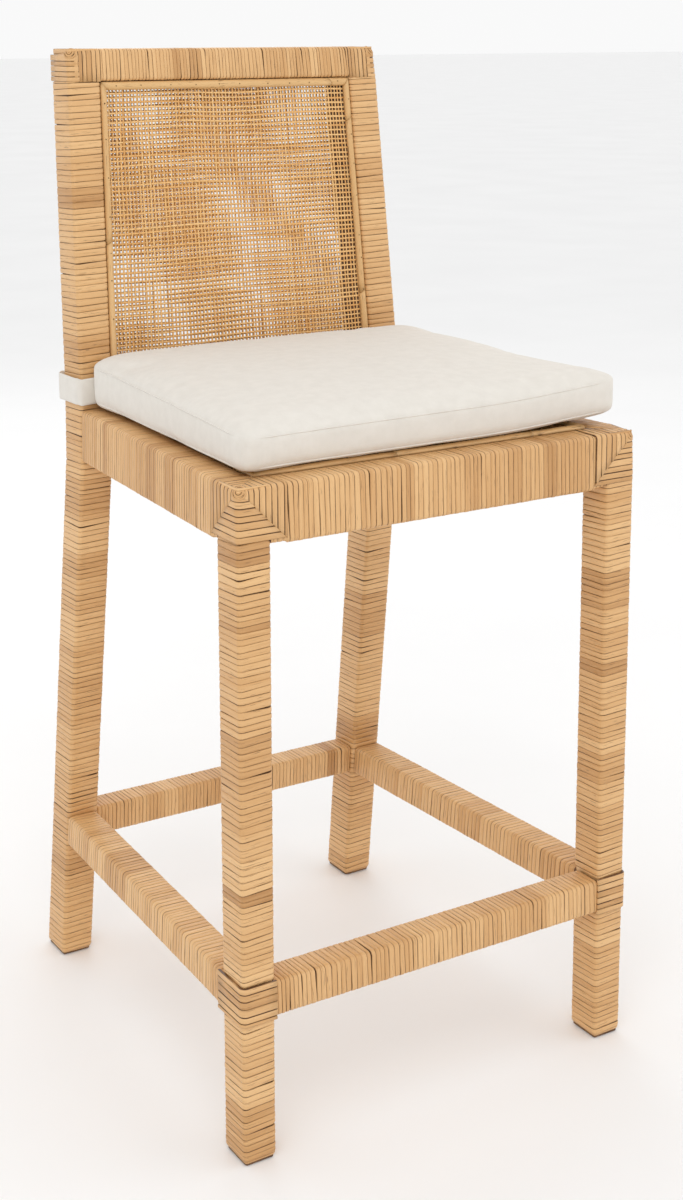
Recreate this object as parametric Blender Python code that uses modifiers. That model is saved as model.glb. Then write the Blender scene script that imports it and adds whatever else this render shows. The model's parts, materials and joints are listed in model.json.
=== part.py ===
"""Counter stool with a footrest: a wooden frame wrapped in rattan peel, cane panels and a tied cushion.

Frame: metres, +Z up. The origin is on the floor under the middle of the stool, the front faces -Y
and +X is to the right as seen from the front.

The frame is laid out square and upright, with y counted from its front face, and settle() then
leans the back posts and draws them in towards the middle.
"""
import math

import bmesh
import bpy
from mathutils import Matrix, Vector

# ---- driving dimensions (metres) ----
HALF = 0.221                 # from the middle to the outer face of a front leg
SEAT_TOP = 0.635             # top of the wrapped seat rails
TOTAL_HEIGHT = 1.000         # top of the crest rail
LEG_X, LEG_Y = 0.034, 0.040  # front leg over its wrapping
POST_X, POST_Y = 0.036, 0.044  # back post over its wrapping
POST_FRONT = 0.376           # front face of a post at seat height, behind the stool's front
# height, how far a post leans back there, how far it is drawn in there
POST_SHAPE = ((0.0, 0.074, 0.0170), (0.575, 0.0, 0.0236), (0.645, 0.0, 0.0249), (1.0, 0.036, 0.0360))

RAIL_T, RAIL_H = 0.034, 0.055  # seat rails over their wrapping
STRETCHER_T, STRETCHER_H = 0.034, 0.035
STRETCHER_TOP = 0.174        # all four lie at one height; the front one is the footrest
STRETCHER_SETBACK = 0.005    # back stretcher behind the posts' front faces
CREST_H = 0.033
LOWER_RAIL_BOTTOM, LOWER_RAIL_H = 0.646, 0.022

WRAP = 0.002                 # thickness of the rattan peel
GAP = 0.0003                 # clearance kept between touching pieces
EDGE_ROUND = 0.0045          # rounding of a wrapped member
ROUND_STEPS = 3
TENON_R, TENON_LENGTH, TENON_ROOT = 0.004, 0.010, 0.004  # round tenon on each rail end
TENON_SIDES = 12
FOOT_LIFT = 0.0008           # bare height of the glides under the legs
GLIDE_R, GLIDE_H = 0.008, 0.009
GLIDE_SIDES = 20

TRIM_W, TRIM_H = 0.009, 0.0045  # half-round peel that covers the cane's cut edges
TRIM_STEPS = 6
CANE_T = 0.0012
SEAT_SINK = 0.003            # top of the seat board below the rails
BOARD_T = 0.010
BLOCK_LEG, BLOCK_H = 0.046, 0.024

CUSHION_T = 0.052
CUSHION_FRONT, CUSHION_REAR = 0.030, 0.370
CUSHION_HALF_FRONT, CUSHION_HALF_REAR = 0.205, 0.192
CUSHION_SHIFT = 0.008
CUSHION_ROUND = 0.010
COVER_T = 0.002
ZIP_LENGTH, ZIP_H = 0.260, 0.006
STRAP_T, STRAP_W, STRAP_BOTTOM = 0.0018, 0.027, 0.641
STRAP_LOOSE, STRAP_TURN = 0.0035, 0.006
STRAP_STEP = 0.030           # run over which the outer strap end steps over the inner one
FASTENER_LENGTH, FASTENER_T = 0.070, 0.0012

# ---- derived places ----
DEPTH = POST_FRONT + POST_SHAPE[0][1] + POST_Y
LEG_IN = HALF - LEG_X
POST_IN = HALF - POST_X
POST_REAR = POST_FRONT + POST_Y
CORE = WRAP + GAP            # a core lies this far inside its wrapping's outer face
BOARD_TOP = SEAT_TOP - SEAT_SINK
SEAT_CANE_Z = BOARD_TOP + GAP
SEAT_TRIM_Z = SEAT_CANE_Z + CANE_T + GAP
CUSHION_BOTTOM = SEAT_TRIM_Z + TRIM_H + GAP
CUSHION_TOP = CUSHION_BOTTOM + CUSHION_T
SIDES = (("left", -1), ("right", 1))

WOOD = ("frame_wood", (0.42, 0.27, 0.15), 0.7, 0.0)
RATTAN = ("rattan_peel", (0.72, 0.48, 0.25), 0.5, 0.0)
CANE = ("cane_webbing", (0.66, 0.42, 0.20), 0.55, 0.0)
TRIM = ("half_round_trim", (0.74, 0.50, 0.26), 0.45, 0.0)
PLY = ("seat_plywood", (0.60, 0.44, 0.27), 0.7, 0.0)
LINEN = ("cushion_linen", (0.80, 0.77, 0.72), 0.9, 0.0)
FOAM = ("cushion_foam", (0.86, 0.82, 0.62), 0.9, 0.0)
NYLON = ("white_nylon", (0.75, 0.72, 0.66), 0.5, 0.0)


# ---- the stool's shape ----
def lerp(a, b, t):
    """The value a share t of the way from a to b."""
    return a + (b - a) * t


def clamp(value, low, high):
    """The value kept between two limits."""
    return max(low, min(high, value))


def post_shape(z):
    """How far a back post leans back and is drawn in at height z."""
    z = clamp(z, POST_SHAPE[0][0], POST_SHAPE[-1][0])
    for low, high in zip(POST_SHAPE, POST_SHAPE[1:]):
        if z <= high[0]:
            share = (z - low[0]) / (high[0] - low[0])
            return lerp(low[1], high[1], share), lerp(low[2], high[2], share)
    return POST_SHAPE[-1][1:]


def settle(point):
    """Carry a point of the square layout to its place on the stool."""
    rake, inset = post_shape(point.z)
    ramp = clamp((point.y - LEG_Y) / (POST_FRONT - LEG_Y), 0.0, 1.0)
    sideways = clamp(point.x / POST_IN, -1.0, 1.0)
    return Vector((point.x - sideways * ramp * inset, point.y + ramp * rake - DEPTH / 2, point.z))


# ---- building blocks ----
def clear_scene():
    """Start from an empty file."""
    for thing in list(bpy.data.objects):
        bpy.data.objects.remove(thing, do_unlink=True)


def collection(name):
    """A collection of this name, linked to the scene."""
    made = bpy.data.collections.new(name)
    bpy.context.scene.collection.children.link(made)
    return made


def material(finish):
    """The Principled material of a finish tuple (name, colour, roughness, metallic)."""
    name, colour, roughness, metallic = finish
    made = bpy.data.materials.get(name)
    if made is None:
        made = bpy.data.materials.new(name)
        made.use_nodes = True
        shader = made.node_tree.nodes["Principled BSDF"]
        shader.inputs["Base Color"].default_value = (*colour, 1.0)
        shader.inputs["Roughness"].default_value = roughness
        shader.inputs["Metallic"].default_value = metallic
    return made


def add_object(name, bm, finish=None):
    """Settle a bmesh and make it a part, or a hidden cutter if it has no finish."""
    for vert in bm.verts:
        vert.co = settle(vert.co)
    bm.normal_update()
    bmesh.ops.recalc_face_normals(bm, faces=bm.faces)
    mesh = bpy.data.meshes.new(name)
    bm.to_mesh(mesh)
    bm.free()
    made = bpy.data.objects.new(name, mesh)
    if finish is None:
        made.hide_render = True
        made.display_type = "WIRE"
        CUTTERS.objects.link(made)
    else:
        made.data.materials.append(material(finish))
        STOOL.objects.link(made)
    return made


def combine(part, other, operation):
    """Combine a part with a hidden shape."""
    step = part.modifiers.new(other.name, "BOOLEAN")
    step.operation = operation
    step.solver = "EXACT"
    step.object = other


def cut(part, cutter):
    """Subtract a cutter from a part."""
    combine(part, cutter, "DIFFERENCE")


def join(part, added):
    """Make a hidden shape one with a part."""
    combine(part, added, "UNION")


def bar(bm, low, high, axis=2, radius=0.0):
    """Add an upright box between two corners, its edges along the axis rounded."""
    low, high = Vector(low), Vector(high)
    verts = bmesh.ops.create_cube(bm, size=1.0)["verts"]
    bmesh.ops.scale(bm, vec=high - low, verts=verts)
    bmesh.ops.translate(bm, vec=(low + high) / 2, verts=verts)
    if radius > 0.0:
        long_edges = []
        for edge in {e for v in verts for e in v.link_edges}:
            run = edge.verts[1].co - edge.verts[0].co
            if abs(run[axis]) > run.length / 2:
                long_edges.append(edge)
        bmesh.ops.bevel(bm, geom=long_edges, offset=radius, segments=ROUND_STEPS,
                        affect="EDGES", profile=0.5, material=-1)


def prism(bm, outline, lift):
    """Add a flat outline of points extruded along the vector lift."""
    face = bm.faces.new([bm.verts.new(point) for point in outline])
    made = bmesh.ops.extrude_face_region(bm, geom=[face])["geom"]
    bmesh.ops.translate(bm, vec=lift, verts=[g for g in made if isinstance(g, bmesh.types.BMVert)])


def rod(bm, foot, head, radius, sides):
    """Add a round bar from foot to head."""
    foot, head = Vector(foot), Vector(head)
    along = head - foot
    turn = along.to_track_quat("Z", "Y").to_matrix().to_4x4()
    bmesh.ops.create_cone(bm, cap_ends=True, segments=sides, radius1=radius, radius2=radius,
                          depth=along.length, matrix=Matrix.Translation((foot + head) / 2) @ turn)


# ---- members of the frame ----
def upright_members():
    """Legs and posts: name, low corner and high corner over the wrapping."""
    made = []
    for name, side in SIDES:
        for kind, inner, front, rear, top in (("front_leg", LEG_IN, 0.0, LEG_Y, SEAT_TOP),
                                              ("back_post", POST_IN, POST_FRONT, POST_REAR, TOTAL_HEIGHT)):
            xs = sorted((side * inner, side * HALF))
            made.append((kind, name, (xs[0], front, FOOT_LIFT), (xs[1], rear, top)))
    return made


def level_members():
    """Rails and stretchers: name, side, axis, low and high corner from joint to joint."""
    seat = (SEAT_TOP - RAIL_H, SEAT_TOP)
    foot = (STRETCHER_TOP - STRETCHER_H, STRETCHER_TOP)
    rear = POST_FRONT + STRETCHER_SETBACK
    rows = [("seat_rail", "front", LEG_IN, 0.0, RAIL_T, seat),
            ("stretcher", "front", LEG_IN, 0.0, STRETCHER_T, foot),
            ("seat_rail", "back", POST_IN, POST_FRONT, POST_FRONT + RAIL_T, seat),
            ("stretcher", "back", POST_IN, rear, rear + STRETCHER_T, foot),
            ("lower_back_rail", "", POST_IN, POST_FRONT, POST_REAR,
             (LOWER_RAIL_BOTTOM, LOWER_RAIL_BOTTOM + LOWER_RAIL_H)),
            ("crest_rail", "", POST_IN, POST_FRONT, POST_REAR, (TOTAL_HEIGHT - CREST_H, TOTAL_HEIGHT))]
    made = [(kind, name, 0, (-reach, front, span[0]), (reach, back, span[1]))
            for kind, name, reach, front, back, span in rows]
    for name, side in SIDES:
        for kind, thick, span in (("seat_rail", RAIL_T, seat), ("stretcher", STRETCHER_T, foot)):
            xs = sorted((side * (HALF - thick), side * HALF))
            made.append((kind, name, 1, (xs[0], LEG_Y, span[0]), (xs[1], POST_FRONT, span[1])))
    return made


def node_name(kind, layer, name):
    """Node name of a member's core or wrap."""
    return "_".join(word for word in (kind, layer, name) if word)


def grown(low, high, axis, ends, sides):
    """A box's corners moved outwards by one amount at its ends and another at its sides."""
    step = Vector((sides, sides, sides))
    step[axis] = ends
    return Vector(low) - step, Vector(high) + step


def knees(bm):
    """Cut a post's mesh at the heights where the post bends."""
    for height in (row[0] for row in POST_SHAPE[1:-1]):
        bmesh.ops.bisect_plane(bm, geom=[*bm.verts, *bm.edges, *bm.faces],
                               plane_co=(0, 0, height), plane_no=(0, 0, 1))


def make_level_members(windows, mortises):
    """Cores and wraps of the rails and stretchers; adds to the cutters of the uprights."""
    for kind, name, axis, low, high in level_members():
        core, sleeve, bore, tenons = (bmesh.new() for _ in range(4))
        core_box = grown(low, high, axis, WRAP, -CORE)
        bar(core, *core_box, axis, EDGE_ROUND - CORE)
        bar(sleeve, *grown(low, high, axis, -GAP, 0.0), axis, EDGE_ROUND)
        bar(bore, *grown(low, high, axis, WRAP, -WRAP), axis, EDGE_ROUND - WRAP)
        bar(windows, *grown(low, high, axis, WRAP * 3 / 2, -WRAP), axis, EDGE_ROUND - WRAP)
        middle = (core_box[0] + core_box[1]) / 2
        for end, way in ((0, -1), (1, 1)):
            joint = middle.copy()
            joint[axis] = core_box[end][axis]
            out = Vector()
            out[axis] = way
            root = joint - out * TENON_ROOT
            rod(tenons, root, joint + out * TENON_LENGTH, TENON_R, TENON_SIDES)
            rod(mortises, root, joint + out * (TENON_LENGTH + GAP), TENON_R + GAP, TENON_SIDES)
        node = node_name(kind, "core", name)
        join(add_object(node, core, WOOD), add_object(f"add_{node}_tenons", tenons))
        node = node_name(kind, "wrap", name)
        cut(add_object(node, sleeve, RATTAN), add_object(f"cut_{node}_bore", bore))


def make_frame():
    """The whole wrapped frame, with a glide under each leg."""
    windows, mortises = bmesh.new(), bmesh.new()
    make_level_members(windows, mortises)
    window_cutter = add_object("cut_windows", windows)
    mortise_cutter = add_object("cut_mortises", mortises)
    for kind, name, low, high in upright_members():
        core, sleeve, bore, glide, seat = (bmesh.new() for _ in range(5))
        flat, cap = Vector((1.0, 1.0, 0.0)), Vector((0.0, 0.0, 1.0))
        low, high = Vector(low), Vector(high)
        bar(core, low + flat * CORE, high - (flat + cap) * CORE, 2, EDGE_ROUND - CORE)
        bar(sleeve, low, high, 2, EDGE_ROUND)
        bar(bore, low + flat * WRAP - cap * FOOT_LIFT, high - (flat + cap) * WRAP, 2, EDGE_ROUND - WRAP)
        if kind == "back_post":
            for mesh in (core, sleeve, bore):
                knees(mesh)
        x, y = (low.x + high.x) / 2, (low.y + high.y) / 2
        rod(glide, (x, y, 0.0), (x, y, GLIDE_H), GLIDE_R, GLIDE_SIDES)
        rod(seat, (x, y, 0.0), (x, y, GLIDE_H + GAP), GLIDE_R + GAP, GLIDE_SIDES)
        node = node_name(kind, "core", name)
        part = add_object(node, core, WOOD)
        cut(part, mortise_cutter)
        cut(part, add_object(f"cut_{node}_glide", seat))
        add_object(f"foot_glide_{kind.split('_')[0]}_{name}", glide, NYLON)
        node = node_name(kind, "wrap", name)
        shell = add_object(node, sleeve, RATTAN)
        cut(shell, add_object(f"cut_{node}_bore", bore))
        cut(shell, window_cutter)


# ---- half-round trim ----
def make_strip(node, start, end, across, up):
    """One mitred half-round strip; across points to its outer, longer edge."""
    start, end, across, up = (Vector(v) for v in (start, end, across, up))
    along = (end - start).normalized()
    start, end = start + along * GAP, end - along * GAP
    strip = bmesh.new()
    profile = []
    for step in range(TRIM_STEPS + 1):
        turn = math.pi * step / TRIM_STEPS
        wide = math.cos(turn) * TRIM_W / 2
        profile.append(start + across * wide + up * math.sin(turn) * TRIM_H - along * wide)
    prism(strip, profile, end - start)
    middle = (start + end) / 2
    for vert in strip.verts:
        if (vert.co - middle).dot(along) > 0:
            vert.co += along * 2 * (vert.co - start).dot(across)
    add_object(node, strip, TRIM)


def make_trim_ring(names, corners, up):
    """Four strips round a panel, corners in order round it, names for the sides between them."""
    centre = sum(corners, Vector()) / len(corners)
    for index, node in enumerate(names):
        start, end = corners[index], corners[(index + 1) % len(corners)]
        across = (end - start).normalized().cross(Vector(up))
        if across.dot(start - centre) < 0:
            across.negate()
        make_strip(node, start, end, across, up)


# ---- seat ----
def make_seat():
    """Seat board, cane sheet, trim, and a corner block under each corner of the board."""
    half = LEG_IN - GAP
    front, rear = RAIL_T + GAP, POST_FRONT - GAP
    board, cane = bmesh.new(), bmesh.new()
    bar(board, (-half, front, BOARD_TOP - BOARD_T), (half, rear, BOARD_TOP))
    bar(cane, (-half, front, SEAT_CANE_Z), (half, rear, SEAT_CANE_Z + CANE_T))
    add_object("seat_board", board, PLY)
    add_object("seat_cane", cane, CANE)
    x, near, far = half - TRIM_W / 2, front + TRIM_W / 2, rear - TRIM_W / 2
    corners = [Vector((sx, y, SEAT_TRIM_Z)) for sx, y in ((-x, near), (x, near), (x, far), (-x, far))]
    make_trim_ring([f"seat_trim_{n}" for n in ("front", "right", "back", "left")], corners, (0, 0, 1))

    inner = half - GAP
    bottom = BOARD_TOP - BOARD_T - GAP - BLOCK_H
    for place, y, step in (("front", LEG_Y + GAP, 1), ("back", rear - GAP, -1)):
        for name, side in SIDES:
            wedge = bmesh.new()
            prism(wedge, [(side * inner, y, bottom), (side * (inner - BLOCK_LEG), y, bottom),
                          (side * inner, y + step * BLOCK_LEG, bottom)], (0, 0, BLOCK_H))
            add_object(f"corner_block_{place}_{name}", wedge, WOOD)


# ---- cane back ----
def make_back():
    """Batten ring, a cane sheet on each face of it, and the trim round each sheet."""
    low, high = LOWER_RAIL_BOTTOM + LOWER_RAIL_H + GAP, TOTAL_HEIGHT - CREST_H - GAP
    half = POST_IN - GAP
    skin = GAP + TRIM_H + GAP + CANE_T + GAP
    near, far = POST_FRONT + skin, POST_REAR - skin
    frame, hole = bmesh.new(), bmesh.new()
    bar(frame, (-half, near, low), (half, far, high))
    bar(hole, (TRIM_W - half, near - WRAP, low + TRIM_W), (half - TRIM_W, far + WRAP, high - TRIM_W))
    cut(add_object("back_panel_frame", frame, WOOD), add_object("cut_back_panel", hole))

    edge = TRIM_W / 2
    x, bottom, top = half - edge, low + edge, high - edge
    for name, face, out in (("front", near, -1), ("rear", far, 1)):
        sheet = bmesh.new()
        ys = sorted((face + out * GAP, face + out * (GAP + CANE_T)))
        bar(sheet, (-half, ys[0], low), (half, ys[1], high))
        add_object(f"back_cane_{name}", sheet, CANE)
        y = face + out * (GAP + CANE_T + GAP)
        corners = [Vector((sx, y, z)) for sx, z in ((-x, bottom), (x, bottom), (x, top), (-x, top))]
        make_trim_ring([f"back_trim_{name}_{n}" for n in ("bottom", "right", "top", "left")],
                       corners, (0, out, 0))


# ---- cushion and its straps ----
def cushion_slab(bm, inset):
    """Add the tapered slab of the cushion, shrunk on every side, where the seat will carry it."""
    bar(bm, (-1, CUSHION_FRONT + inset, CUSHION_BOTTOM + inset),
        (1, CUSHION_REAR - inset, CUSHION_TOP - inset))
    _, drawn_in = post_shape(SEAT_TOP)
    for vert in bm.verts:
        rear = vert.co.y > (CUSHION_FRONT + CUSHION_REAR) / 2
        half = CUSHION_HALF_REAR + drawn_in if rear else CUSHION_HALF_FRONT
        vert.co.x = math.copysign(half - inset, vert.co.x) + CUSHION_SHIFT


def rounded(part, width):
    """Round the edges of a part with a bevel."""
    step = part.modifiers.new("rounded", "BEVEL")
    step.width = width
    step.segments = ROUND_STEPS
    step.limit_method = "ANGLE"


def make_cushion():
    """Cover with a zip along its rear side, and the foam inside it."""
    outer, inner, foam, slot, tape = (bmesh.new() for _ in range(5))
    cushion_slab(outer, 0.0)
    cushion_slab(inner, COVER_T)
    cushion_slab(foam, COVER_T + GAP)
    middle = (CUSHION_BOTTOM + CUSHION_TOP) / 2
    x, z = ZIP_LENGTH / 2, ZIP_H / 2
    bar(slot, (-x, CUSHION_REAR - COVER_T * 2, middle - z), (x, CUSHION_REAR + COVER_T, middle + z))
    bar(tape, (GAP - x, CUSHION_REAR - COVER_T + GAP, middle - z + GAP),
        (x - GAP, CUSHION_REAR, middle + z - GAP))
    cavity = add_object("cut_cushion_cavity", inner)
    rounded(cavity, CUSHION_ROUND - COVER_T)
    cover = add_object("cushion_cover", outer, LINEN)
    rounded(cover, CUSHION_ROUND)
    cut(cover, cavity)
    cut(cover, add_object("cut_cushion_zip", slot))
    rounded(add_object("cushion_foam", foam, FOAM), CUSHION_ROUND - COVER_T - GAP)
    add_object("cushion_zip", tape, NYLON)


def turn_points(x, y, start, steps=4):
    """Points round a quarter turn of a strap about a centre, from an angle in degrees."""
    turns = [math.radians(lerp(start, start + 90, s / steps)) for s in range(steps + 1)]
    return [(x + STRAP_TURN * math.cos(t), y + STRAP_TURN * math.sin(t)) for t in turns]


def ribbon(bm, route):
    """Add an upright band whose plan follows the route, thickened to its left."""
    offset = []
    for index, point in enumerate(route):
        before, after = route[max(index - 1, 0)], route[min(index + 1, len(route) - 1)]
        way = (Vector(after) - Vector(before)).normalized()
        offset.append((point[0] - way.y * STRAP_T, point[1] + way.x * STRAP_T))
    prism(bm, [(x, y, STRAP_BOTTOM) for x, y in [*route, *reversed(offset)]], (0, 0, STRAP_W))


def make_straps():
    """Two bands from the cushion's rear corners, round the posts, fastened behind the back."""
    overlap = FASTENER_LENGTH / 2
    out, behind = HALF + STRAP_LOOSE, POST_REAR + STRAP_LOOSE
    start = CUSHION_REAR + GAP + STRAP_T
    for name, side in SIDES:
        layer = 0.0 if side < 0 else STRAP_T + FASTENER_T + GAP * 2
        route = [(POST_IN, start)]
        route += turn_points(out - STRAP_TURN, start + STRAP_TURN, -90)
        route += turn_points(out - STRAP_TURN, behind - STRAP_TURN, 0)
        route += [(POST_IN, behind), (POST_IN - STRAP_STEP, behind + layer), (-overlap, behind + layer)]
        route = [(side * x, y) for x, y in route]
        bm = bmesh.new()
        ribbon(bm, route if side < 0 else route[::-1])
        add_object(f"strap_{name}", bm, LINEN)
    patch = bmesh.new()
    face = behind + STRAP_T + GAP
    bar(patch, (-overlap, face, STRAP_BOTTOM + GAP),
        (overlap, face + FASTENER_T, STRAP_BOTTOM + STRAP_W - GAP))
    add_object("strap_fastener", patch, NYLON)


clear_scene()
STOOL = collection("counter_stool")
CUTTERS = collection("cutters")
make_frame()
make_seat()
make_back()
make_cushion()
make_straps()
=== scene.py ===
"""Looks of a rattan counter stool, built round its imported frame.

Every wooden member is wound with one long crowned strip of peel. Each front seat corner is
covered by nested bands that meet on three diagonals, and each top corner of the back by plain
ones. The back has two sheets of woven cane, and a linen cushion is held to the posts by two straps.
"""
import sys
import json
import logging
import math
import random
from collections.abc import Callable, Sequence
from dataclasses import dataclass, field
from enum import Enum

import bmesh
import bpy
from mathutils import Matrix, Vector
from mathutils.bvhtree import BVHTree


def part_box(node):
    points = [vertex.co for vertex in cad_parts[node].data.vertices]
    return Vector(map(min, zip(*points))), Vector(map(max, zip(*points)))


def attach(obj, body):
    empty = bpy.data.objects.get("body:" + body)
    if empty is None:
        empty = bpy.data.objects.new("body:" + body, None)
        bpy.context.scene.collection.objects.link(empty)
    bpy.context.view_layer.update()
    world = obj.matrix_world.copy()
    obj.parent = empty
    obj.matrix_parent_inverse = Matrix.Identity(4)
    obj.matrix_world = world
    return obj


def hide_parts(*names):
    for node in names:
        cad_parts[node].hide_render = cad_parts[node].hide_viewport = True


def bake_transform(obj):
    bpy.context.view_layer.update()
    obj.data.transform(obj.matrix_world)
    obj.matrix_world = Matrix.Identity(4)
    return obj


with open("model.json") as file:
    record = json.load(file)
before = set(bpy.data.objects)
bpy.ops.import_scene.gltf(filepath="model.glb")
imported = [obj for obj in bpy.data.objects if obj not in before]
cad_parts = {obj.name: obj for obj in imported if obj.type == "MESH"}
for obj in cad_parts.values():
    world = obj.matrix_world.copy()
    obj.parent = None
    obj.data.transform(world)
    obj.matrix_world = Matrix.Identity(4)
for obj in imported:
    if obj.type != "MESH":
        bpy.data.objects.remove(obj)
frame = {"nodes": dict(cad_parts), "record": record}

log = logging.getLogger("stool")
STRIP = "strip"              # point attribute: run along the strip, place across it, tone
Ring = Sequence[Vector]
Colour = tuple[float, float, float]


class Body(Enum):
    """The two rigid bodies of the stool."""

    FRAME = "frame"
    CUSHION = "cushion"


class Slot(Enum):
    """Material slots of the record."""

    WOOD = "frame_wood"
    RATTAN = "rattan_peel"
    CANE = "cane_webbing"
    TRIM = "half_round_trim"
    PLY = "seat_plywood"
    LINEN = "cushion_linen"
    FOAM = "cushion_foam"
    NYLON = "white_nylon"


def lerp(a: float, b: float, t: float) -> float:
    """The value a share t of the way from a to b."""
    return a + (b - a) * t


def clamp(value: float, low: float, high: float) -> float:
    """The value kept between two limits."""
    return max(low, min(high, value))


# ---- the stool's layout ----
@dataclass(frozen=True)
class Layout:
    """Sizes of the wrapped frame, laid out square before the posts lean."""

    half: float = 0.221
    leg_x: float = 0.034
    leg_y: float = 0.040
    post_x: float = 0.036
    post_y: float = 0.044
    post_front: float = 0.376
    seat_top: float = 0.635
    rail_t: float = 0.034
    rail_h: float = 0.055
    stretcher_t: float = 0.034
    stretcher_h: float = 0.035
    stretcher_top: float = 0.174
    stretcher_setback: float = 0.005
    crest_h: float = 0.033
    lower_rail_bottom: float = 0.646
    lower_rail_h: float = 0.022
    edge: float = 0.0045
    gap: float = 0.0003
    foot: float = 0.0008
    bends: tuple[tuple[float, float, float], ...] = (
        (0.0, 0.074, 0.0170), (0.575, 0.0, 0.0236), (0.645, 0.0, 0.0249), (1.0, 0.036, 0.0360))

    @property
    def leg_in(self) -> float:
        """Inner face of a front leg."""
        return self.half - self.leg_x

    @property
    def post_in(self) -> float:
        """Inner face of a back post, before it is drawn in."""
        return self.half - self.post_x

    @property
    def post_rear(self) -> float:
        """Rear face of a back post at seat height."""
        return self.post_front + self.post_y

    @property
    def top(self) -> float:
        """Top of the back."""
        return self.bends[-1][0]

    @property
    def half_depth(self) -> float:
        """Half of the stool's depth on the floor."""
        return (self.post_rear + self.bends[0][1]) / 2

    def lean(self, z: float) -> tuple[float, float]:
        """How far a post leans back and is drawn in.

        Args:
            z: Height above the floor.

        Returns:
            The lean and the draw, in metres.
        """
        z = clamp(z, self.bends[0][0], self.top)
        for low, high in zip(self.bends, self.bends[1:]):
            if z <= high[0]:
                share = (z - low[0]) / (high[0] - low[0])
                return lerp(low[1], high[1], share), lerp(low[2], high[2], share)
        return self.bends[-1][1], self.bends[-1][2]

    def settle(self, point: Vector) -> Vector:
        """Carry a point of the square layout to its place on the stool.

        Args:
            point: X from the middle, y from the stool's front, z from the floor.

        Returns:
            The point in the shared frame.
        """
        rake, inset = self.lean(point.z)
        ramp = clamp((point.y - self.leg_y) / (self.post_front - self.leg_y), 0.0, 1.0)
        sideways = clamp(point.x / self.post_in, -1.0, 1.0)
        return Vector((point.x - sideways * ramp * inset,
                       point.y + ramp * rake - self.half_depth, point.z))


STOOL = Layout()


# ---- mesh tools ----
def new_mesh() -> bmesh.types.BMesh:
    """An empty bmesh that carries the strip attribute."""
    bm = bmesh.new()
    bm.verts.layers.float_vector.new(STRIP)
    return bm


def loft(bm: bmesh.types.BMesh, rings: Sequence[Ring], across: Sequence[float],
         along: Sequence[float], tones: Sequence[float], hoop: bool = False) -> None:
    """Add a closed bar that passes through rings of points.

    Args:
        bm: Mesh to add to.
        rings: Rings of the same number of points, in order along the bar.
        across: Place across the strip of each point of a ring, from -1 to 1.
        along: Run along the strip at each ring.
        tones: Tone of each ring.
        hoop: Whether the last ring is the first one again, so that the bar has no ends.
    """
    count, sides = len(rings), len(rings[0])
    verts = bmesh.ops.create_grid(bm, x_segments=sides, y_segments=count - 1, size=1.0)["verts"]
    strip = bm.verts.layers.float_vector[STRIP]
    for index, vert in enumerate(verts):
        row, side = divmod(index, sides + 1)
        vert.co = rings[row][side % sides]
        vert[strip] = (along[row], across[side % sides], tones[row])
    starts = range(0, len(verts), sides + 1)
    bmesh.ops.weld_verts(bm, targetmap={verts[start + sides]: verts[start] for start in starts})
    if hoop:
        bmesh.ops.weld_verts(bm, targetmap=dict(zip(verts[starts[-1]:starts[-1] + sides], verts)))
        return
    for start in (starts[0], starts[-1]):
        bmesh.ops.contextual_create(bm, geom=verts[start:start + sides])


def shown(name: str, data: bpy.types.ID) -> bpy.types.Object:
    """A new object of the scene that shows some data."""
    made = bpy.data.objects.new(name, data)
    bpy.context.scene.collection.objects.link(made)
    return made


def shown_mesh(name: str, bm: bmesh.types.BMesh) -> bpy.types.Object:
    """A new object of the scene with the mesh of a bmesh, which is freed."""
    mesh = bpy.data.meshes.new(name)
    bm.to_mesh(mesh)
    bm.free()
    return shown(name, mesh)


def cubic(bm: bmesh.types.BMesh, size: Vector, centre: Vector) -> list[bmesh.types.BMVert]:
    """Add a box and return its corners."""
    verts = bmesh.ops.create_cube(bm, size=1.0)["verts"]
    bmesh.ops.scale(bm, vec=size, verts=verts)
    bmesh.ops.translate(bm, vec=centre, verts=verts)
    return verts


def rounded(bm: bmesh.types.BMesh, edges: list[bmesh.types.BMEdge], offset: float,
            segments: int) -> None:
    """Round some edges."""
    bmesh.ops.bevel(bm, geom=edges, offset=offset, segments=segments, affect="EDGES",
                    profile=0.5, material=-1)


def piece(name: str, bm: bmesh.types.BMesh, finish: bpy.types.Material, body: Body | None,
          slot: Slot, replaces: Sequence[str] = ()) -> bpy.types.Object:
    """Make an object from a bmesh and dress it.

    Args:
        name: Name of the piece.
        bm: Its mesh, in the shared frame. It is freed.
        finish: Its material.
        body: The body that it rides on, or None to leave it unattached.
        slot: The record's slot of the piece. It is not used.
        replaces: CAD nodes that it stands for.

    Returns:
        The new object.
    """
    bm.normal_update()
    bmesh.ops.recalc_face_normals(bm, faces=bm.faces)
    for face in bm.faces:
        face.smooth = True
    made = shown_mesh(name, bm)
    made.data.materials.append(finish)
    if body is not None:
        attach(made, body.value)
    if replaces:
        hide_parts(*replaces)
    log.info("%s: %d faces", name, len(made.data.polygons))
    return made


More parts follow.
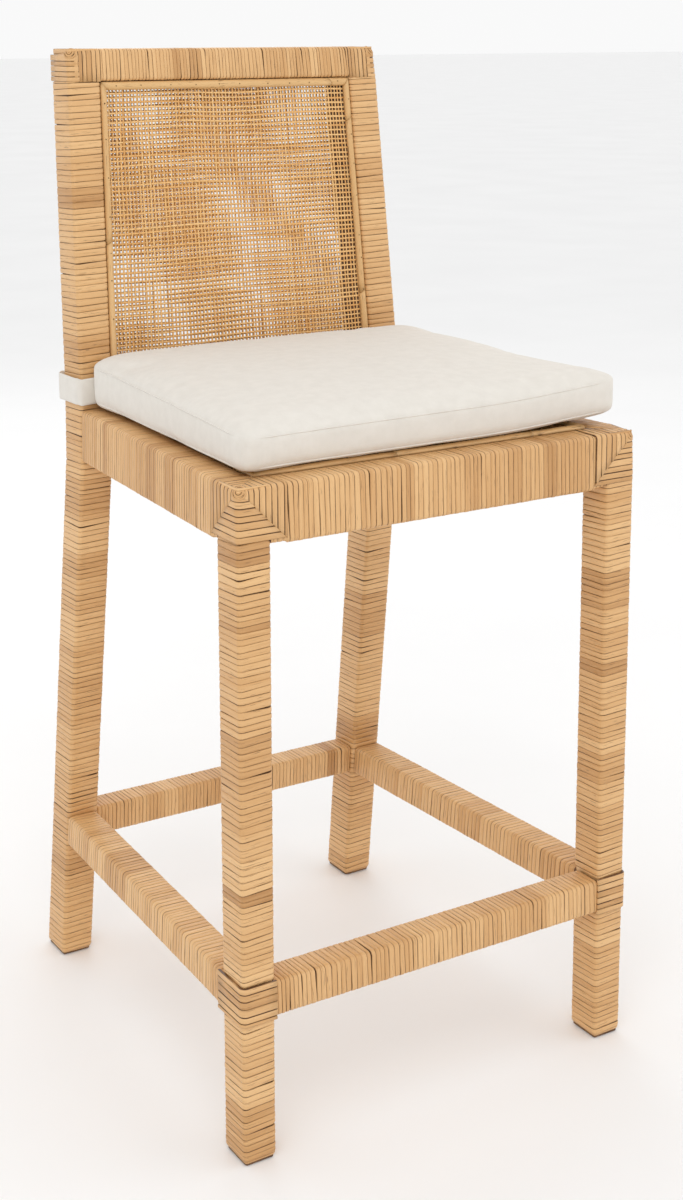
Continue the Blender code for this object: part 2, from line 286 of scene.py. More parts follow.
# ---- node tools ----
class Graph:
    """A node tree with short ways to add nodes and join them."""

    def __init__(self, tree: bpy.types.NodeTree) -> None:
        """Work on a tree."""
        self.tree = tree

    def add(self, kind: str, settings: dict | None = None, **values: object) -> bpy.types.Node:
        """Add a node.

        Args:
            kind: Its type.
            settings: Its own properties.
            values: Socket names, with _ for a space, or i0, i1 by number; each a value or a socket.

        Returns:
            The new node.
        """
        node = self.tree.nodes.new(kind)
        for key, value in (settings or {}).items():
            setattr(node, key, value)
        for key, value in values.items():
            numbered = key[0] == "i" and key[1:].isdigit()
            socket = node.inputs[int(key[1:]) if numbered else key.replace("_", " ")]
            if isinstance(value, bpy.types.NodeSocket):
                self.tree.links.new(value, socket)
            else:
                socket.default_value = value
        return node

    def math(self, operation: str, a: object, b: object = 0.0) -> bpy.types.NodeSocket:
        """The result of a Math node."""
        return self.add("ShaderNodeMath", {"operation": operation}, i0=a, i1=b).outputs[0]

    def times(self, a: object, b: object) -> bpy.types.NodeSocket:
        """The product of two values."""
        return self.math("MULTIPLY", a, b)

    def plus(self, a: object, b: object) -> bpy.types.NodeSocket:
        """The sum of two values."""
        return self.math("ADD", a, b)

    def ramp(self, value: object, low: float, high: float,
             to_low: float = 0.0, to_high: float = 1.0) -> bpy.types.NodeSocket:
        """The value mapped from one range to another and clamped."""
        return self.add("ShaderNodeMapRange", None, i0=value, i1=low, i2=high,
                        i3=to_low, i4=to_high).outputs[0]

    def mix(self, share: object, a: object, b: object) -> bpy.types.NodeSocket:
        """The mix of two colours."""
        node = self.add("ShaderNodeMix", {"data_type": "RGBA"})
        for index, value in ((0, share), (6, a), (7, b)):
            if isinstance(value, bpy.types.NodeSocket):
                self.tree.links.new(value, node.inputs[index])
            else:
                node.inputs[index].default_value = value if index == 0 else (*value, 1.0)
        return node.outputs[2]

    def noise(self, vector: bpy.types.NodeSocket, scale: float,
              detail: float = 2.0) -> bpy.types.NodeSocket:
        """The value of a Noise texture."""
        return self.add("ShaderNodeTexNoise", None, Vector=vector, Scale=scale,
                        Detail=detail).outputs[0]

    def parts(self, vector: bpy.types.NodeSocket) -> list[bpy.types.NodeSocket]:
        """The three values of a vector."""
        return list(self.add("ShaderNodeSeparateXYZ", None, Vector=vector).outputs)

    def stretched(self, x: object, y: object, z: object) -> bpy.types.NodeSocket:
        """A vector from three values."""
        return self.add("ShaderNodeCombineXYZ", None, X=x, Y=y, Z=z).outputs[0]


FLOAT, COLOUR, VECTOR = "NodeSocketFloat", "NodeSocketColor", "NodeSocketVector"
SURFACE = (("Colour", COLOUR), ("Height", FLOAT), ("Roughness", FLOAT))
FOUR_TONES = ("Light", "Middle", "Shade", "Dark")


def group(name: str, inputs: Sequence[tuple[str, str]],
          fill: Callable[[Graph, bpy.types.Node], dict[str, object]]) -> bpy.types.NodeTree:
    """A shader node group with a surface's colour, height and roughness, built once.

    Args:
        name: Its name.
        inputs: Name and socket type of each input.
        fill: Adds the nodes and returns the socket of each output.

    Returns:
        The group.
    """
    found = bpy.data.node_groups.get(name)
    if found:
        return found
    tree = bpy.data.node_groups.new(name, "ShaderNodeTree")
    for way, sockets in (("INPUT", inputs), ("OUTPUT", SURFACE)):
        for label, kind in sockets:
            tree.interface.new_socket(label, in_out=way, socket_type=kind)
    graph = Graph(tree)
    made = fill(graph, graph.add("NodeGroupInput"))
    graph.add("NodeGroupOutput", None, **made)
    return tree


def strip_grain_and_gap_shade() -> bpy.types.NodeTree:
    """Fibre, colour patches and growth-ring marks of a split rattan strip, and painted shade that
    darkens its sides.
    """
    def fill(g: Graph, given: bpy.types.Node) -> dict[str, object]:
        """Noise along the strip for fibre, patches and marks, and painted shade on the sides."""
        run, side, tone = g.parts(given.outputs["Strip"])
        light, middle, shade, dark = (given.outputs[name] for name in FOUR_TONES)
        seed = g.times(tone, 31.0)

        def pattern(along: float, across: float, shift: float, scale: float,
                    detail: float) -> bpy.types.NodeSocket:
            """Noise drawn out along the strip, different on each one."""
            place = g.stretched(g.times(run, along), g.times(side, across), g.plus(seed, shift))
            return g.noise(place, scale, detail)

        fibre = pattern(25.0, 3.2, 0.0, 2.0, 3.0)
        patch = pattern(14.0, 1.0, 0.0, 1.0, 2.0)
        mark = pattern(42.0, 3.4, 9.0, 1.4, 3.0)
        gap_shade = pattern(22.0, 0.4, 4.0, 1.0, 2.0)
        share = g.plus(g.times(tone, 0.55), g.times(patch, 0.5))
        colour = g.mix(g.ramp(share, 0.25, 0.62), light, middle)
        colour = g.mix(g.ramp(share, 0.62, 0.98), colour, shade)
        colour = g.mix(g.ramp(fibre, 0.56, 0.80, 0.0, 0.30), colour, shade)
        colour = g.mix(g.ramp(mark, 0.63, 0.70, 0.0, 0.75), colour, dark)
        # Painted shade: the strip's sides are darkened towards the dark tone, by an amount that
        # changes along the run, for the shade in the gaps between strips.
        edge = g.times(g.ramp(g.math("ABSOLUTE", side), 0.80, 1.0),
                       g.ramp(gap_shade, 0.42, 0.60, 0.14, 1.0))
        colour = g.mix(g.times(edge, given.outputs["Edge"]), colour, dark)
        return {"Colour": colour, "Height": fibre, "Roughness": g.ramp(fibre, 0.3, 0.8, 0.36, 0.56)}
    tones = [(name, COLOUR) for name in FOUR_TONES]
    return group("strip_grain_and_gap_shade", [("Strip", VECTOR), *tones, ("Edge", FLOAT)], fill)


def solid_grain() -> bpy.types.NodeTree:
    """Long grain and mottle of a plain solid, on its own coordinates."""
    def fill(g: Graph, given: bpy.types.Node) -> dict[str, object]:
        """Noise drawn out along the grain."""
        place = given.outputs["Place"]
        stretch = g.add("ShaderNodeMapping", None, Vector=place)
        g.tree.links.new(given.outputs["Stretch"], stretch.inputs["Scale"])
        grain = g.noise(stretch.outputs[0], 1.0, 4.0)
        colour = g.mix(g.ramp(grain, 0.35, 0.68), given.outputs["Light"], given.outputs["Dark"])
        return {"Colour": colour, "Height": grain, "Roughness": g.ramp(grain, 0.3, 0.7, 0.5, 0.75)}
    return group("solid_grain", [("Place", VECTOR), ("Stretch", VECTOR), ("Light", COLOUR),
                                 ("Dark", COLOUR)], fill)


def cloth_weave() -> bpy.types.NodeTree:
    """Plain weave with uneven threads."""
    def fill(g: Graph, given: bpy.types.Node) -> dict[str, object]:
        """Two sets of threads, pulled about by noise."""
        place = given.outputs["Place"]
        xyz = g.parts(place)
        slub = g.noise(place, 90.0, 3.0)
        pull = g.times(slub, 0.0012)
        threads = []
        for a, b in ((0, 2), (1, 2)):
            run = g.plus(g.plus(xyz[a], g.times(xyz[b], 0.9)), pull)
            threads.append(g.math("SINE", g.times(run, given.outputs["Threads"])))
        height = g.times(threads[0], threads[1])
        share = g.plus(g.ramp(height, -1.0, 1.0, 0.0, 0.45),
                       g.ramp(slub, 0.3, 0.8, 0.0, 0.4))
        colour = g.mix(share, given.outputs["Light"], given.outputs["Dark"])
        return {"Colour": colour, "Height": height, "Roughness": g.ramp(slub, 0.3, 0.7, 0.86, 0.96)}
    return group("cloth_weave", [("Place", VECTOR), ("Threads", FLOAT), ("Light", COLOUR),
                                 ("Dark", COLOUR)], fill)


def shaded(name: str, tree: bpy.types.NodeTree, values: dict[str, object], bump: float,
           depth: float, **shader: float) -> bpy.types.Material:
    """A material whose colour, roughness and bump come from a node group.

    Args:
        name: Its name.
        tree: The group.
        values: What goes into the group, next to the strip attribute or the object's coordinates.
        bump: Strength of the bump.
        depth: Height of the bump in metres.
        shader: Plain values of the Principled shader's sockets.

    Returns:
        The material.
    """
    made = bpy.data.materials.new(name)
    made.use_nodes = True
    graph = Graph(made.node_tree)
    target = made.node_tree.nodes["Principled BSDF"]
    effect = graph.add("ShaderNodeGroup", {"node_tree": tree})
    for key, value in values.items():
        colour = effect.inputs[key].type == "RGBA"
        effect.inputs[key].default_value = (*value, 1.0) if colour else value
    if "Strip" in effect.inputs:
        source = graph.add("ShaderNodeAttribute", {"attribute_name": STRIP}).outputs["Vector"]
        made.node_tree.links.new(source, effect.inputs["Strip"])
    else:
        source = graph.add("ShaderNodeTexCoord").outputs["Object"]
        made.node_tree.links.new(source, effect.inputs["Place"])
    relief = graph.add("ShaderNodeBump", None, Strength=bump, Distance=depth,
                       Height=effect.outputs["Height"])
    for output, socket in ((effect.outputs["Colour"], "Base Color"),
                           (effect.outputs["Roughness"], "Roughness"),
                           (relief.outputs[0], "Normal")):
        made.node_tree.links.new(output, target.inputs[socket])
    for key, value in shader.items():
        target.inputs[key.replace("_", " ")].default_value = value
    return made


@dataclass(frozen=True)
class StripFinish:
    """Split rattan or cane, with its colours from light to dark."""

    name: str
    light: Colour
    middle: Colour
    shade: Colour
    dark: Colour
    # Strength of the painted shade on the sides of the strips.
    edge: float = 0.8

    def make(self) -> bpy.types.Material:
        """The material."""
        return shaded(self.name, strip_grain_and_gap_shade(),
                      {"Light": self.light, "Middle": self.middle, "Shade": self.shade,
                       "Dark": self.dark, "Edge": self.edge}, 0.25, 0.0003,
                      Coat_Weight=0.12, Coat_Roughness=0.35)


@dataclass(frozen=True)
class SolidFinish:
    """A plain solid with a grain."""

    name: str
    light: Colour
    dark: Colour
    stretch: tuple[float, float, float] = (60.0, 60.0, 60.0)
    metallic: float = 0.0

    def make(self) -> bpy.types.Material:
        """The material."""
        return shaded(self.name, solid_grain(),
                      {"Light": self.light, "Dark": self.dark, "Stretch": self.stretch},
                      0.2, 0.0003, Metallic=self.metallic)


@dataclass(frozen=True)
class ClothFinish:
    """Woven cloth."""

    name: str
    light: Colour
    dark: Colour
    threads: float = 5200.0

    def make(self) -> bpy.types.Material:
        """The material."""
        return shaded(self.name, cloth_weave(),
                      {"Light": self.light, "Dark": self.dark, "Threads": self.threads},
                      0.35, 0.0003, Sheen_Weight=0.25, Sheen_Roughness=0.5)


# The last number of each strip finish is the strength of the painted shade on its strips' sides.
PEEL = StripFinish("wound_peel", (0.78, 0.485, 0.222), (0.65, 0.365, 0.145), (0.46, 0.225, 0.072),
                   (0.15, 0.06, 0.018), 1.0)
# Painted shade: a slightly darker copy of the wound peel for the corner bands, with twice its
# painted shade on the band sides.
CORNER_PEEL_SHADED = StripFinish("corner_peel_shaded", (0.76, 0.465, 0.21), (0.62, 0.345, 0.135),
                          (0.42, 0.20, 0.062), (0.12, 0.048, 0.015), 2.0)
WEBBING = StripFinish("woven_cane", (0.92, 0.575, 0.24), (0.84, 0.46, 0.155), (0.62, 0.285, 0.07),
                      (0.22, 0.09, 0.025), 0.25)
HALF_ROUND = StripFinish("half_round_peel", (0.76, 0.49, 0.22), (0.66, 0.39, 0.155),
                         (0.50, 0.27, 0.095), (0.16, 0.07, 0.02), 0.25)
CORE_WOOD = SolidFinish("core_wood", (0.20, 0.10, 0.04), (0.10, 0.045, 0.018))
PLYWOOD = SolidFinish("raw_plywood", (0.52, 0.35, 0.18), (0.38, 0.24, 0.11), (8.0, 90.0, 90.0))
LINEN = ClothFinish("off_white_linen", (0.82, 0.78, 0.715), (0.69, 0.65, 0.585))
FOAM = SolidFinish("open_foam", (0.80, 0.75, 0.55), (0.62, 0.57, 0.40), (400.0, 400.0, 400.0))
NYLON = SolidFinish("moulded_nylon", (0.72, 0.69, 0.62), (0.62, 0.59, 0.52))
BRASSED = SolidFinish("brad_steel", (0.30, 0.20, 0.10), (0.16, 0.10, 0.05), metallic=0.8)
STEEL = SolidFinish("screw_steel", (0.60, 0.60, 0.60), (0.45, 0.45, 0.46), metallic=1.0)
PALE_FLOOR = SolidFinish("pale_floor", (0.93, 0.93, 0.93), (0.91, 0.91, 0.91), (2.0, 2.0, 2.0))


# ---- wound peel ----
# Place across the strip and share of its thickness below the crown, round the section.
PEEL_SECTION = ((0.0, 0.0), (0.66, 0.04), (1.0, 0.25), (0.94, 1.0), (-0.94, 1.0), (-1.0, 0.25),
                (-0.66, 0.04))
ACROSS = tuple(point[0] for point in PEEL_SECTION)
CORNER_STEPS = 3             # faces in the rounding of a member's edge


def perimeter(half_a: float, half_b: float, radius: float) -> list[tuple[Vector, Vector, float]]:
    """Points round a rounded rectangle.

    Args:
        half_a: Half of its first side.
        half_b: Half of its second side.
        radius: Rounding of its corners.

    Returns:
        For each point its place, its outward normal and the share of the way round.
    """
    points = []
    for corner, (sa, sb) in enumerate(((1, 1), (-1, 1), (-1, -1), (1, -1))):
        for step in range(CORNER_STEPS + 1):
            turn = math.radians(90 * corner + 90 * step / CORNER_STEPS)
            out = Vector((math.cos(turn), math.sin(turn)))
            centre = Vector((sa * (half_a - radius), sb * (half_b - radius)))
            points.append((centre + out * radius, out))
    lengths = [0.0]
    for (a, _), (b, _) in zip(points, [*points[1:], points[0]]):
        lengths.append(lengths[-1] + (b - a).length)
    return [(p, n, lengths[i] / lengths[-1]) for i, (p, n) in enumerate(points)]


@dataclass(frozen=True)
class Handwork:
    """Chances and ranges by which one turn of peel differs from the next, in metres and shares."""

    width: tuple[float, float] = (0.78, 1.22)
    tone: tuple[float, float] = (0.05, 0.75)
    dark_tone: tuple[float, float] = (0.85, 1.1)
    dark_chance: float = 0.10
    dark_from: float = 0.8
    run: tuple[int, int] = (2, 9)
    dark_run: tuple[int, int] = (1, 3)
    tone_change: float = 0.16
    depth: tuple[float, float] = (0.0, 0.0003)
    wedge_chance: float = 0.40
    wedge: tuple[float, float] = (0.0004, 0.0015)
    wedge_reach: tuple[float, float] = (0.08, 0.24)
    slip: float = 0.0005
    seed: int = 0


@dataclass
class WoundMember:
    """A wooden member wound with one strip of peel."""

    kind: str
    side: str
    axis: int
    low: tuple[float, float, float]
    high: tuple[float, float, float]
    pitch: float = 0.0061
    sunk: tuple[tuple[float, float], ...] = ()
    foot_round: float = 0.0
    thick: float = 0.0016
    sink: float = 0.0017
    slack: float = 0.00005
    hand: Handwork = Handwork()

    @property
    def node(self) -> str:
        """Name of the CAD sleeve that the winding stands for."""
        return "_".join(word for word in (self.kind, "wrap", self.side) if word)

    def edges(self, rng: random.Random, length: float) -> list[float]:
        """Borders between the turns along the member."""
        widths = []
        while sum(widths) < length:
            widths.append(self.pitch * rng.uniform(*self.hand.width))
        scale = length / sum(widths)
        borders = [0.0]
        for width in widths:
            borders.append(borders[-1] + width * scale)
        return borders

    def tones(self, rng: random.Random, count: int) -> list[float]:
        """Tone of each turn: slow changes from strip to strip and a few darker bands."""
        hand, tones = self.hand, []
        while len(tones) < count:
            base = rng.uniform(*hand.tone)
            if rng.random() < hand.dark_chance:
                base = rng.uniform(*hand.dark_tone)
            run = rng.randint(*(hand.run if base < hand.dark_from else hand.dark_run))
            tones += [base + rng.uniform(-hand.tone_change, hand.tone_change) for _ in range(run)]
        return tones

    def drop(self, at: float) -> float:
        """How deep the crown lies where bands or the foot's rounding need room."""
        depth = self.sink if any(a <= at <= b for a, b in self.sunk) else 0.0
        if at < self.foot_round:
            up = (self.foot_round - at) / self.foot_round
            depth += self.foot_round * (1 - math.sqrt(1 - up * up))
        return depth

    def build(self, finish: bpy.types.Material) -> bpy.types.Object:
        """Wind the member and make its piece."""
        hand = self.hand
        rng = random.Random(f"{self.node}{hand.seed}")
        low, high = Vector(self.low), Vector(self.high)
        others = [a for a in range(3) if a != self.axis]
        centre = (low + high) / 2
        half = [(high[a] - low[a]) / 2 for a in others]
        loop = perimeter(half[0], half[1], STOOL.edge)
        around = 4 * (half[0] + half[1])
        borders = self.edges(rng, high[self.axis] - low[self.axis])
        turns = len(borders) - 1
        tones = self.tones(rng, turns + 1)
        sinks = [rng.uniform(*hand.depth) for _ in range(turns + 1)]
        wedges = {n: rng.uniform(*hand.wedge) for n in range(1, turns)
                  if rng.random() < hand.wedge_chance}
        peaks = {n: (rng.random(), rng.uniform(*hand.wedge_reach)) for n in wedges}
        slips = [rng.uniform(-hand.slip, hand.slip) for _ in range(4 * turns + 2)]

        def border(at: float) -> float:
            """The border after this many turns, counted in parts of a turn."""
            at = clamp(at, 0.0, float(turns))
            index = min(int(at), turns - 1)
            quarter = min(int(4 * at), 4 * turns)
            slip = lerp(slips[quarter], slips[quarter + 1], 4 * at - quarter)
            calm = min(1.0, at, turns - at)
            return lerp(borders[index], borders[index + 1], at - index) + slip * calm

        rings, along, shades = [], [], []
        for turn in range(turns + 1):
            for place, out, share in loop:
                at = turn + share
                left, right = border(at - 1), border(at)
                open_by = 0.0
                if turn in wedges:
                    peak, spread = peaks[turn]
                    open_by = wedges[turn] * max(0.0, 1 - abs(share - peak) / spread)
                right = max(right - self.slack - open_by, left + self.slack * 2)
                left = min(left + self.slack, right - self.slack)
                ring = []
                for side, deep in PEEL_SECTION:
                    run = lerp(left, right, (side + 1) / 2)
                    below = deep * self.thick + sinks[turn] + self.drop(run)
                    spot = place - out * below
                    point = centre.copy()
                    point[self.axis] = low[self.axis] + run
                    point[others[0]] += spot.x
                    point[others[1]] += spot.y
                    ring.append(STOOL.settle(point))
                rings.append(ring)
                along.append(at * around)
                shades.append(tones[turn])
        bm = new_mesh()
        loft(bm, rings, ACROSS, along, shades)
        return piece(f"{self.kind}_winding{'_' + self.side if self.side else ''}", bm, finish,
                     Body.FRAME, Slot.RATTAN, [self.node])


# ---- nested bands ----
@dataclass(frozen=True)
class BandRow:
    """Bands side by side along one edge of a corner.

    Each goes round the edge that lies along the axis. Its two arms end at a mitre, at the
    distance of the band from the corner, or at the limits of the two faces.
    """

    axis: int
    start: float
    end: float
    limits: tuple[float, float]
    mitred: bool = True
    pitch: float = 0.0060


@dataclass
class CornerBands:
    """Bands of peel round a corner of the frame, on its three faces."""

    name: str
    vertex: tuple[float, float, float]
    inward: tuple[int, int, int]
    rows: tuple[BandRow, ...]
    soft: float = 0.0080
    fade: float = 0.035
    thick: float = 0.0015
    proud: float = 0.0
    knot: bool = True
    short: tuple[float, float] = (-0.0006, 0.0003)
    uneven: float = 0.0002
    spread: tuple[float, float] = (0.8, 1.2)
    slit: float = 0.0003
    eyes: tuple[float, ...] = (0.0058, 0.0036, 0.0014)
    eye_thick: float = 0.0011

    def place(self, local: Vector) -> Vector:
        """A point of the sharp corner, counted inwards, on the rounded one in the shared frame."""
        near = clamp(1 - max(local) / self.fade, 0.0, 1.0)
        radius = lerp(STOOL.edge, self.soft, near)
        cut = [max(0.0, radius - value) for value in local]
        length = math.sqrt(sum(value * value for value in cut))
        if length > 0:
            scale = max(cut) / length
            local = Vector(radius - c * scale if c > 0 else v for c, v in zip(cut, local))
        return self.settled(local)

    def settled(self, local: Vector) -> Vector:
        """The place in the shared frame of a point that is counted inwards from the corner."""
        return STOOL.settle(Vector(v + s * c for v, s, c in zip(self.vertex, self.inward, local)))

    def band(self, bm: bmesh.types.BMesh, row: BandRow, at: float, width: float,
             rng: random.Random) -> None:
        """Add one band.

        Args:
            bm: Mesh to add to.
            row: The row that it belongs to.
            at: Distance of its middle from the corner.
            width: Its width.
            rng: Source of small differences.
        """
        one, two = (a for a in range(3) if a != row.axis)
        short = [rng.uniform(*self.short) for _ in range(2)]
        sunk = rng.uniform(0.0, self.uneven) - self.proud
        turn = [self.soft * (1 - math.tan(math.radians(angle))) for angle in (0, 15, 30, 38)]

        def ring(face: int, share: float) -> list[Vector]:
            """One ring; the share runs from 1 at the arm's end to 0 at the edge."""
            points = []
            for side, deep in PEEL_SECTION:
                distance = at + side * width / 2
                depth = deep * self.thick + sunk
                reach = min(distance, row.limits[face]) if row.mitred else row.limits[face]
                reach = max(self.soft * 1.02, reach - short[face])
                along = lerp(turn[0], reach, share - 1) if share >= 1 else share * turn[0]
                local = Vector()
                local[row.axis] = distance
                local[(one, two)[face]] = max(along, depth)
                local[(two, one)[face]] = depth
                points.append(self.place(local))
            return points

        shares = [2.0, 1.5, 1.0, *(reach / turn[0] for reach in turn[1:])]
        rings = [ring(0, share) for share in shares] + [ring(0, 0.0)]
        rings += [ring(1, share) for share in reversed(shares)]
        middles = [sum(points, Vector()) / len(points) for points in rings]
        along = [rng.uniform(0.0, 5.0)]
        for a, b in zip(middles, middles[1:]):
            along.append(along[-1] + (b - a).length)
        tone = rng.uniform(0.1, 0.85)
        loft(bm, rings, ACROSS, along, [tone] * len(rings))

    def eye(self, bm: bmesh.types.BMesh, radius: float) -> None:
        """Add one small ring of the knot, round the corner's diagonal."""
        steps, sides = 24, 8
        out, thick = Vector((-1, -1, -1)).normalized(), self.eye_thick
        first = out.orthogonal().normalized()
        second = out.cross(first)
        lean = math.asin(min(0.95, radius / self.soft))
        rings, angles = [], [math.tau * side / sides for side in range(sides)]
        for step in range(steps + 1):
            turn = math.tau * step / steps
            round_it = first * math.cos(turn) + second * math.sin(turn)
            aim = out * math.cos(lean) + round_it * math.sin(lean)
            flat = aim.cross(first * -math.sin(turn) + second * math.cos(turn))
            centre = Vector((self.soft,) * 3) + aim * (self.soft + self.proud)
            spots = [centre + aim * math.cos(a) * thick * 0.7 + flat * math.sin(a) * thick
                     for a in angles]
            rings.append([self.settled(spot) for spot in spots])
        loft(bm, rings, [math.sin(a) for a in angles],
             [step * 0.002 for step in range(steps + 1)], [0.55] * (steps + 1), hoop=True)

    def build(self, finish: bpy.types.Material) -> bpy.types.Object:
        """Make all bands and the knot as one piece."""
        rng = random.Random(self.name)
        bm = new_mesh()
        for row in self.rows:
            at = row.start
            while at < row.end - row.pitch / 3:
                width = min(row.pitch * rng.uniform(*self.spread), row.end - at)
                self.band(bm, row, at + width / 2, width - self.slit, rng)
                at += width
        for radius in self.eyes if self.knot else ():
            self.eye(bm, radius)
        return piece(self.name, bm, finish, Body.FRAME, Slot.RATTAN)


@dataclass
class WrappedFrame:
    """Every wound member and the bands that close the corners."""

    corner: float = 0.050
    collar_low: float = 0.138
    collar_high: float = 0.176
    rail_pitch: float = 0.0052
    foot_round: float = 0.0065
    members: list[WoundMember] = field(default_factory=list)

    def uprights(self) -> None:
        """Legs and posts."""
        lay = STOOL
        for name, side in (("left", -1), ("right", 1)):
            for kind, inner, front, rear, top, sunk in (
                    ("front_leg", lay.leg_in, 0.0, lay.leg_y, lay.seat_top,
                     ((self.collar_low - lay.foot, self.collar_high),
                      (lay.seat_top - self.corner - lay.foot, lay.seat_top))),
                    ("back_post", lay.post_in, lay.post_front, lay.post_rear, lay.top,
                     ((lay.top - lay.crest_h - lay.foot, lay.top),))):
                xs = sorted((side * inner, side * lay.half))
                self.members.append(WoundMember(kind, name, 2, (xs[0], front, lay.foot),
                                                (xs[1], rear, top), sunk=sunk,
                                                foot_round=self.foot_round))

    def levels(self) -> None:
        """Rails and stretchers."""
        lay, pitch, gap = STOOL, self.rail_pitch, STOOL.gap
        seat = (lay.seat_top - lay.rail_h, lay.seat_top)
        foot = (lay.stretcher_top - lay.stretcher_h, lay.stretcher_top)
        rear = lay.post_front + lay.stretcher_setback
        under = self.corner - lay.leg_x
        span = 2 * (lay.leg_in - gap)
        hidden = ((0.0, under), (span - under, span))
        rows = (("seat_rail", "front", lay.leg_in, 0.0, lay.rail_t, seat, hidden),
                ("stretcher", "front", lay.leg_in, 0.0, lay.stretcher_t, foot, ()),
                ("seat_rail", "back", lay.post_in, lay.post_front,
                 lay.post_front + lay.rail_t, seat, ()),
                ("stretcher", "back", lay.post_in, rear, rear + lay.stretcher_t, foot, ()),
                ("lower_back_rail", "", lay.post_in, lay.post_front, lay.post_rear,
                 (lay.lower_rail_bottom, lay.lower_rail_bottom + lay.lower_rail_h), ()),
                ("crest_rail", "", lay.post_in, lay.post_front, lay.post_rear,
                 (lay.top - lay.crest_h, lay.top), ()))
        for kind, name, reach, front, back, (low, high), sunk in rows:
            self.members.append(WoundMember(kind, name, 0, (gap - reach, front, low),
                                            (reach - gap, back, high), pitch, sunk=sunk))
        for name, side in (("left", -1), ("right", 1)):
            for kind, thick, (low, high), sunk in (
                    ("seat_rail", lay.rail_t, seat, ((0.0, self.corner - lay.leg_y),)),
                    ("stretcher", lay.stretcher_t, foot, ((0.0, 0.004),))):
                xs = sorted((side * (lay.half - thick), side * lay.half))
                self.members.append(WoundMember(
                    kind, name, 1, (xs[0], lay.leg_y + gap, low),
                    (xs[1], lay.post_front - gap, high), pitch, sunk=sunk))

    def bands(self) -> list[CornerBands]:
        """Bands of the seat corners, of the back's top corners and the stretcher collars."""
        lay, made, far = STOOL, [], self.corner
        for name, side in (("left", -1), ("right", 1)):
            inward = (-side, 1, -1)
            made.append(CornerBands(
                f"seat_corner_bands_{name}", (side * lay.half, 0.0, lay.seat_top), inward,
                (*(BandRow(axis, 0.006, far, (lay.rail_t, far)) for axis in (0, 1)),
                 BandRow(2, 0.006, far, (far, far)))))
            made.append(CornerBands(
                f"back_corner_bands_{name}", (side * lay.half, lay.post_front, lay.top), inward,
                (BandRow(0, 0.007, lay.post_x, (lay.post_y, lay.crest_h), False, 0.0052),
                 BandRow(2, 0.006, lay.crest_h, (0.012, lay.post_y), False, 0.0056))))
            low, high = lay.seat_top - self.collar_high, lay.seat_top - self.collar_low
            made.append(CornerBands(
                f"stretcher_collar_{name}", (side * lay.half, 0.0, lay.seat_top), inward,
                (BandRow(2, low, high, (lay.leg_x + 0.0005, lay.leg_y + 0.004), False, 0.0064),),
                soft=lay.edge + 0.001, thick=0.0030, proud=0.0022, knot=False))
        return made

    def build(self) -> None:
        """Wind the whole frame and band its corners."""
        peel, corner_peel_shaded = PEEL.make(), CORNER_PEEL_SHADED.make()
        self.uprights()
        self.levels()
        for member in self.members:
            member.build(peel)
        for bands in self.bands():
            bands.build(corner_peel_shaded)


# ---- trim ----
@dataclass
class Trim:
    """Half-round strips round a panel, cut to length and nailed."""

    prefix: str
    names: tuple[str, str, str, str]
    corners: tuple[Vector, Vector, Vector, Vector]
    up: Vector
    cuts: dict[str, tuple[float, ...]] = field(default_factory=dict)
    width: float = 0.009
    height: float = 0.0045
    brad: float = 0.0008
    brad_every: float = 0.035
    saw: float = 0.0004
    slant: float = 0.6
    uneven: float = 0.04
    piece: float = 0.012
    steps: int = 8

    def strip(self, name: str, start: Vector, end: Vector, finish: bpy.types.Material,
              brads: bmesh.types.BMesh) -> None:
        """Make one side of the ring, with its butt joints and brads."""
        rng = random.Random(self.prefix + name)
        centre = sum(self.corners, Vector()) / 4
        along = (end - start).normalized()
        across = along.cross(self.up)
        if across.dot(start - centre) < 0:
            across.negate()
        length = (end - start).length
        angles = [math.pi * step / self.steps for step in range(self.steps + 1)]
        stops = [0.0, *self.cuts.get(name, ()), 1.0]
        bm = new_mesh()
        for low, high in zip(stops, stops[1:]):
            tone = rng.uniform(0.1, 0.6)
            pieces = max(6, int((high - low) * length / self.piece))
            rings, runs = [], []
            for index in range(pieces + 1):
                share = index / pieces
                swell = 1.0 + self.uneven * math.sin(7.0 * share + 9.0 * tone)
                ring = []
                for turn in angles:
                    wide = math.cos(turn) * self.width / 2
                    skew = wide * self.slant
                    a = self.saw - wide if low == 0.0 else low * length + self.saw + skew
                    b = length - self.saw + wide if high == 1.0 else high * length - self.saw + skew
                    up = math.sin(turn) * self.height * 0.97 * swell
                    ring.append(STOOL.settle(start + along * lerp(a, b, share) + across * wide
                                             + self.up * up))
                rings.append(ring)
                runs.append(lerp(low, high, share) * length + 3 * tone)
            loft(bm, rings, [math.cos(turn) for turn in angles], runs, [tone] * len(rings))
        node = f"{self.prefix}_{name}"
        piece(f"{node}_strip", bm, finish, Body.FRAME, Slot.TRIM, [node])
        count = max(2, round(length / self.brad_every))
        for index in range(count):
            at = (index + 0.5 + rng.uniform(-0.2, 0.2)) / count
            side = across * rng.uniform(-0.1, 0.1) * self.width
            place = STOOL.settle(start.lerp(end, at) + side + self.up * self.height * 0.93)
            verts = bmesh.ops.create_icosphere(brads, subdivisions=1, radius=self.brad)["verts"]
            bmesh.ops.translate(brads, vec=place, verts=verts)

    def build(self, finish: bpy.types.Material, brads: bmesh.types.BMesh) -> None:
        """Make the four sides."""
        for index, name in enumerate(self.names):
            self.strip(name, self.corners[index], self.corners[(index + 1) % 4], finish, brads)


